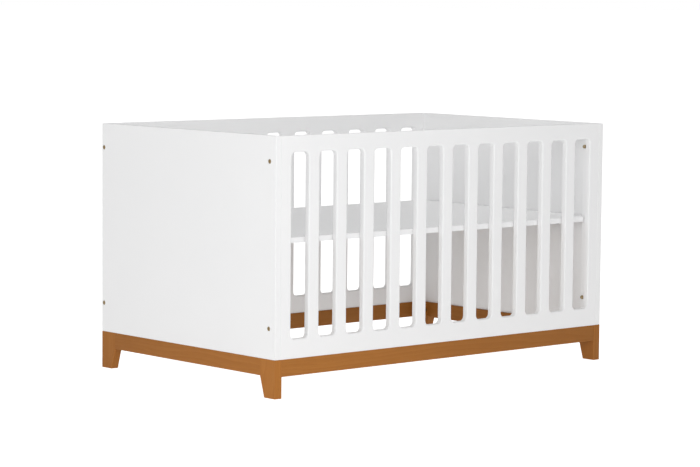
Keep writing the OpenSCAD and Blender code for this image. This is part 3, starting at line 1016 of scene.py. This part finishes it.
def slots_of(sizes, node, first, count):
    """The slots of one side, evenly spaced between the two end stiles."""
    low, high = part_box(node)
    half_w = sizes.slot_width / 2
    run = 2 * (CAD_HIGH.x - first - half_w)
    z0, z1 = low.z + sizes.slot_bottom, high.z - sizes.slot_top
    return [
        Opening((-run / 2 + run * k / (count - 1), (z0 + z1) / 2),
                (half_w, (z1 - z0) / 2), sizes.slot_corner,
                sizes.slot_edge, SLOT_MARGIN)
        for k in range(count)
    ]


class CRIB_OT_slatted_sides(bpy.types.Operator):
    """Front and back sides, each one board with a row of rounded slots"""
    bl_idname = "crib.slatted_sides"
    bl_label = "Slatted sides"

    def execute(self, context):
        sizes = context.scene.crib_sizes
        nut_holes = [
            round_hole((s * (CAD_HIGH.x - BARREL_NUT), z), -1, NUT_HOLE)
            for _, s in SIDES for z in BOLT_ROWS
        ]
        for name, first, count, others in (
                ("front", sizes.front_first, sizes.front_count, []),
                ("back", sizes.back_first, sizes.back_count, nut_holes)):
            node = name + "_slatted_side"
            white_board(name + "_side", node, UPRIGHT_SIDE, sizes.side_edge,
                        slots_of(sizes, node, first, count) + others)
        return {"FINISHED"}


class CRIB_OT_side_battens(bpy.types.Operator):
    """White battens behind the end stiles of the front side"""
    bl_idname = "crib.side_battens"
    bl_label = "Side battens"

    def execute(self, context):
        for name, _ in SIDES:
            node = f"front_{name}_batten"
            low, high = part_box(node)
            holes = [round_hole(((low.x + high.x) / 2, z), 1, BATTEN_HOLE)
                     for z in BATTEN_SCREWS]
            white_board(name + "_side_batten", node, UPRIGHT_SIDE,
                        BATTEN_EDGE, holes)
        return {"FINISHED"}


class CRIB_OT_panel_bolts(bpy.types.Operator):
    """Flat-headed bolts with a hexagon socket through the end panels, flush
    with their outer faces"""
    bl_idname = "crib.panel_bolts"
    bl_label = "Panel bolts"

    def execute(self, context):
        for name, s in SIDES:
            for place, _ in DEPTHS:
                node = f"{place}_bolts_{name}"
                x, y = end_face(node, s)
                low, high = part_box(node)
                tip = high.x - low.x
                profile = [(tip, 0.0, 0), (tip, 0.0024, 0),
                           (tip - 0.0008, 0.003, 0)] + BOLT_HEAD
                turned_row(f"{name}_{place}_bolts", node, profile, x,
                           [(y, z) for z in BOLT_ROWS], -s)
        return {"FINISHED"}


class CRIB_OT_cap_nuts(bpy.types.Operator):
    """Domed nuts on the bolts' ends inside the front corners"""
    bl_idname = "crib.cap_nuts"
    bl_label = "Cap nuts"

    def execute(self, context):
        for name, s in SIDES:
            node = "cap_nuts_" + name
            x, y = end_face(node, s)
            turned_row(name + "_cap_nuts", node, CAP_NUT, x,
                       [(y, z) for z in BOLT_ROWS], -s)
        return {"FINISHED"}


class CRIB_OT_platform(bpy.types.Operator):
    """The lift-out board, notched at the front corners, and its stiffeners"""
    bl_idname = "crib.platform"
    bl_label = "Mattress platform"

    def execute(self, context):
        edge = context.scene.crib_sizes.board_edge
        low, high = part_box("mattress_platform")
        corners = [
            (-NOTCH_X, low.y), (NOTCH_X, low.y), (NOTCH_X, NOTCH_Y),
            (high.x, NOTCH_Y), (high.x, high.y), (low.x, high.y),
            (low.x, NOTCH_Y), (-NOTCH_X, NOTCH_Y),
        ]
        top = flat_shape("platform_board", corners, low.z, high.z, LYING, edge)
        finish_piece(top, white_lacquer(),
                     "mattress_platform", LIFT_BODY)
        low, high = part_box("platform_battens")
        bars = [
            block_shape("platform_bar", (low.x, y - HALF_STIFFENER, low.z),
                        (high.x, y + HALF_STIFFENER, high.z), STIFFENER_EDGE)
            for y in STIFFENERS
        ]
        finish_piece(joined("platform_bars", bars), birch("x"),
                     "platform_battens", LIFT_BODY)
        return {"FINISHED"}


def bracket_outline(low, high, s):
    """The section of an angle that fills a box: two plates joined by a
    quarter bend, whose outer and inner radius are the thickness apart."""
    sin, cos = quarter(BEND_STEPS)
    arc = np.stack([-cos, sin], 1)
    centre = np.array([BRACKET_BEND, -BRACKET_BEND])
    down, out = high.z - low.z, high.x - low.x
    points = np.concatenate([
        [(0.0, -down)], centre + BRACKET_BEND * arc, [(out, 0.0)],
        [(out, -BRACKET_STEEL)],
        centre + (BRACKET_BEND - BRACKET_STEEL) * arc[::-1],
        [(BRACKET_STEEL, -down)]])
    wall = high.x if s > 0 else low.x
    return np.stack([wall - s * points[:, 0], high.z + points[:, 1]], 1)


class CRIB_OT_brackets(bpy.types.Operator):
    """Steel angles that carry the platform, with their bolts and inserts"""
    bl_idname = "crib.brackets"
    bl_label = "Support brackets"

    def execute(self, context):
        for name, s in SIDES:
            node = "support_brackets_" + name
            outline = bracket_outline(*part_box(node), s)
            angles = [
                flat_shape("bracket", outline, y - HALF_BRACKET,
                           y + HALF_BRACKET, UPRIGHT_SIDE, BRACKET_EDGE)
                for y in BRACKET_PLACES
            ]
            finish_piece(joined(name + "_brackets", angles), zinc_steel(),
                         node)
            wall, _ = end_face(node, s)
            bolts = "bracket_bolts_" + name
            low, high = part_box(bolts)
            turned_row(name + "_bracket_bolts", bolts, BRACKET_BOLT,
                       wall - s * BRACKET_STEEL,
                       [(y, (low.z + high.z) / 2) for y in INSERT_PLACES], s)
            turned_row(name + "_inserts", "level_inserts_" + name, INSERT,
                       wall, [(y, INSERT_ROW) for y in INSERT_PLACES], s,
                       INSERT_STEPS)
        return {"FINISHED"}


class CRIB_OT_legs(bpy.types.Operator):
    """Four tapering legs; each runs a hair into its end rail, so that the
    glued joint shows no groove"""
    bl_idname = "crib.legs"
    bl_label = "Legs"

    def execute(self, context):
        edge = context.scene.crib_sizes.timber_edge
        for place, sy in DEPTHS:
            for name, _ in SIDES:
                node = f"{place}_{name}_leg"
                low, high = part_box(node)
                face = high.y if sy > 0 else low.y
                inwards = np.array([0.0, LEG_FOOT, LEG_TOP, LEG_TOP + edge,
                                    LEG_TOP + edge, 0.0])
                heights = [0.0, 0.0, RAIL_BOTTOM, RAIL_BOTTOM,
                           high.z, high.z]
                corners = np.stack([face - sy * inwards, heights], 1)
                piece = flat_shape(f"{name}_{place}_leg", corners,
                                   low.x, high.x, UPRIGHT_END, edge)
                finish_piece(piece, honey_timber("z"), node)
        return {"FINISHED"}


class CRIB_OT_rails(bpy.types.Operator):
    """Rails between the legs, bored from below for their screws"""
    bl_idname = "crib.rails"
    bl_label = "Base rails"

    def execute(self, context):
        edge = context.scene.crib_sizes.timber_edge
        for name, s in SIDES:
            rail(name + "_rail", name + "_end_rail", "y", LYING_ACROSS, edge,
                 END_RAIL_SCREWS, s * END_SCREW_LINE, edge)
        for name, s in DEPTHS:
            rail(name + "_long_rail", name + "_rail", "x", LYING, edge,
                 LONG_RAIL_SCREWS, s * LONG_SCREW_LINE)
        return {"FINISHED"}


class CRIB_OT_corner_blocks(bpy.types.Operator):
    """Blocks screwed into the four corners of the base"""
    bl_idname = "crib.corner_blocks"
    bl_label = "Corner blocks"

    def execute(self, context):
        low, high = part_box("corner_blocks")
        blocks = [
            block_shape("corner_block", (x, y, low.z),
                        (x + BLOCK, y + BLOCK, high.z), BLOCK_EDGE)
            for x in (low.x, high.x - BLOCK)
            for y in (low.y, high.y - BLOCK)
        ]
        finish_piece(joined("corner_blocks_base", blocks), honey_timber("z"),
                     "corner_blocks")
        return {"FINISHED"}


KEPT_NODES = {
    "zinc_steel": ("batten_screws", "platform_screws", "base_screws_sides",
                   "base_screws_ends", "barrel_nuts_left",
                   "barrel_nuts_right"),
    "yellow_zinc": ("corner_block_screws",),
    "birch": ("panel_dowels_left", "panel_dowels_right", "base_dowels"),
}


class CRIB_OT_hardware(bpy.types.Operator):
    """Finishes on the screws, barrel nuts and dowels that keep their shape"""
    bl_idname = "crib.hardware"
    bl_label = "Screws and dowels"

    def execute(self, context):
        finishes = {"zinc_steel": zinc_steel(), "birch": birch("x"),
                    "yellow_zinc": yellow_zinc()}
        for kind, names in KEPT_NODES.items():
            for name in names:
                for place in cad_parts[name].material_slots:
                    place.material = finishes[kind]
        return {"FINISHED"}


# ---------------------------------------------------------------- the stage

WHITE = (1.0, 1.0, 1.0, 1.0)
CAMERA_PLACE = (-5.4425, -6.141, 1.1649)
CAMERA_TURNS = (41.425, 5.279, 0.514)   # heading, down, roll in degrees
CAMERA_LENS = 136.18
SENSOR = 36.0
FLOOR_RINGS = np.concatenate([[0.0], np.geomspace(0.5, 150.0, 16)])
# Soft lights: name, place, what they point at, width and height.
SOFT_BOXES = (
    ("front", (-1.9, -2.6, 1.5), (-0.5, -0.4, 0.4), 1.6, 1.6),
    ("left", (-3.6, 0.2, 1.4), (-0.67, 0.0, 0.4), 2.4, 1.8),
    ("top", (0.0, -0.3, 3.2), (0.0, 0.0, 0.4), 2.4, 1.6),
    ("far", (-5.0, -5.5, 2.2), (0.0, 0.0, 0.4), 2.0, 2.0),
)


def seen_or_lit(tree, seen, lit):
    """A strength that is one value to the camera and another to the scene."""
    path = tree.nodes.new("ShaderNodeLightPath")
    return spread(tree, path.outputs["Is Camera Ray"], 0.0, 1.0, lit, seen)


class CRIB_OT_stage(bpy.types.Operator):
    """Pale floor, soft lights and the camera"""
    bl_idname = "crib.stage"
    bl_label = "Studio"

    def execute(self, context):
        scene = context.scene
        light = scene.crib_light
        self.make_floor(scene.crib_colours.floor, light)
        world = bpy.data.worlds.new("studio")
        scene.world = world
        world.use_nodes = True
        tree = world.node_tree
        wire(tree, tree.nodes["Background"], Color=WHITE,
             Strength=seen_or_lit(tree, 1.0, light.sky))
        for name, place, aim, width, height in SOFT_BOXES:
            self.make_soft_box(scene, name + "_light", place, aim, width,
                               height, getattr(light, name))
        scene.view_settings.view_transform = "Standard"
        self.make_camera(scene)
        return {"FINISHED"}

    @staticmethod
    def make_floor(colour, light):
        """A round floor: the radius grows by an even factor from ring to
        ring, and the first ring closes on the middle."""
        turn = np.linspace(0, 2 * math.pi, FLOOR_STEPS + 1)[:-1]
        radius = FLOOR_RINGS[:, None]
        points = lift(np.stack([radius * np.cos(turn), radius * np.sin(turn)],
                               -1), 0.0)
        shell = Shell(LYING)
        shell.grid(points, (0.0, 0.0, 1.0), 0.0)
        floor = shell.build("studio_floor")
        material, tree, shader, where = start_finish("studio_floor")
        pale = use_group(tree, make_soft_mottle, Vector=where,
                         Patches_per_metre=1.5, Low=0.0, High=0.05)
        wire(tree, shader, Roughness=0.9, Specular_IOR_Level=0.1,
             Base_Color=blend_colour(tree, pale[0], tuple(colour),
                                     shade(colour, FLOOR_SHADE)),
             Emission_Color=WHITE,
             Emission_Strength=seen_or_lit(tree, light.paper,
                                           light.floor_glow))
        floor.data.materials.append(material)

    @staticmethod
    def make_soft_box(scene, name, place, aim, width, height, watts):
        """A rectangular light that points at aim."""
        data = bpy.data.lights.new(name, "AREA")
        data.shape, data.size, data.size_y = "RECTANGLE", width, height
        data.energy = watts
        lamp = bpy.data.objects.new(name, data)
        scene.collection.objects.link(lamp)
        lamp.location = place
        lamp.rotation_euler = (
            Vector(aim) - Vector(place)).to_track_quat("-Z", "Y").to_euler()

    @staticmethod
    def make_camera(scene):
        """The camera from its heading (clockwise from +Y), its downward
        pitch and its roll."""
        data = bpy.data.cameras.new("camera")
        data.sensor_fit, data.sensor_width = "HORIZONTAL", SENSOR
        data.lens = CAMERA_LENS
        data.clip_start, data.clip_end = 0.1, 400.0
        heading, down, roll = (math.radians(a) for a in CAMERA_TURNS)
        forward = Vector((math.sin(heading) * math.cos(down),
                          math.cos(heading) * math.cos(down),
                          -math.sin(down)))
        level = Vector((math.cos(heading), -math.sin(heading), 0.0))
        upright = level.cross(forward)
        right = math.cos(roll) * level + math.sin(roll) * upright
        up = -math.sin(roll) * level + math.cos(roll) * upright
        camera = bpy.data.objects.new("camera", data)
        scene.collection.objects.link(camera)
        turned = Matrix((right, up, -forward)).transposed()
        camera.matrix_world = (
            Matrix.Translation(CAMERA_PLACE) @ turned.to_4x4())
        scene.camera = camera


# ---------------------------------------------------------------- the add-on

OPERATORS = (
    CRIB_OT_end_panels, CRIB_OT_slatted_sides, CRIB_OT_side_battens,
    CRIB_OT_panel_bolts, CRIB_OT_cap_nuts, CRIB_OT_platform,
    CRIB_OT_brackets, CRIB_OT_legs, CRIB_OT_rails, CRIB_OT_corner_blocks,
    CRIB_OT_hardware, CRIB_OT_stage,
)


class CRIB_PT_panel(bpy.types.Panel):
    """Lists the crib's sizes, colours, lights and pieces"""
    bl_label = "Crib"
    bl_idname = "CRIB_PT_panel"
    bl_space_type = "VIEW_3D"
    bl_region_type = "UI"
    bl_category = "Crib"

    def draw(self, context):
        layout = self.layout
        for group in (context.scene.crib_sizes, context.scene.crib_colours,
                      context.scene.crib_light):
            box = layout.box()
            for name in group.__annotations__:
                box.prop(group, name)
        for operator in OPERATORS:
            layout.operator(operator.bl_idname)


GROUPS = (CribSizes, CribColours, CribLight)


def register():
    for cls in GROUPS + OPERATORS + (CRIB_PT_panel,):
        bpy.utils.register_class(cls)
    bpy.types.Scene.crib_sizes = PointerProperty(type=CribSizes)
    bpy.types.Scene.crib_colours = PointerProperty(type=CribColours)
    bpy.types.Scene.crib_light = PointerProperty(type=CribLight)


def unregister():
    del bpy.types.Scene.crib_light
    del bpy.types.Scene.crib_colours
    del bpy.types.Scene.crib_sizes
    for cls in reversed(GROUPS + OPERATORS + (CRIB_PT_panel,)):
        bpy.utils.unregister_class(cls)


def main():
    """Makes every piece and the stage."""
    register()
    for operator in OPERATORS:
        family, action = operator.bl_idname.split(".")
        getattr(getattr(bpy.ops, family), action)()


if __name__ == "__main__":
    main()
